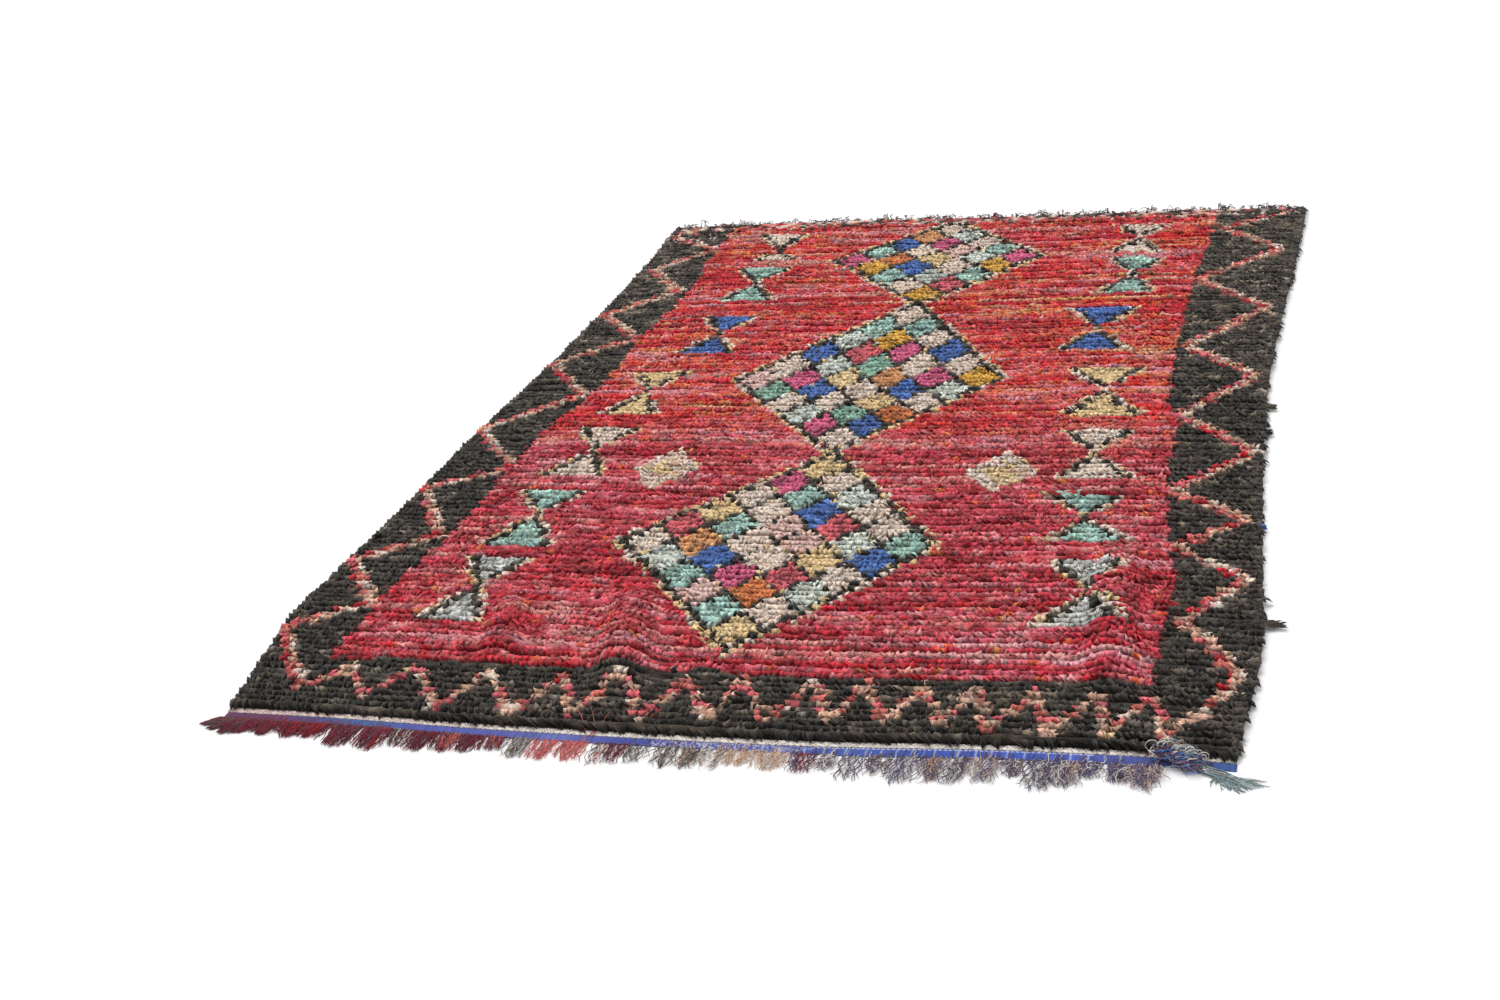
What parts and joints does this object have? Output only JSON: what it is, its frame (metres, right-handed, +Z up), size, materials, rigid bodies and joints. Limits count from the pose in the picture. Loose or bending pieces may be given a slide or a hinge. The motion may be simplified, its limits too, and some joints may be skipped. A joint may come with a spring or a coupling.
{
  "type": "boucherouite rug",
  "caption": "Rectangular hand-knotted wool rug lying flat, with lozenge field, zigzag border, woven ends, fringes and a corner tassel.",
  "frame": {"origin": "under the middle of the rug, on the floor, at the bottom centre of the overall box", "axes": "+X to the right as seen from the fringed front end, +Y from the front end to the back end, +Z up out of the pile"},
  "size_m": [1.7138, 2.5474, 0.0464],
  "materials": {
    "wool_pile": "matt lumpy wool pile, crimson field with a charcoal border",
    "woven_band": "matt flat weave, blue, with dark red and grey thread ends",
    "warp_ends": "matt loose wool ends, dark red, purple and grey",
    "tassel_wool": "matt loose wool threads, blue grey"
  },
  "bodies": {
    "root": {"rug": "wool_pile", "front_fringe": "woven_band", "back_fringe": "warp_ends", "corner_tassel": "tassel_wool"}
  },
  "joints": []
}
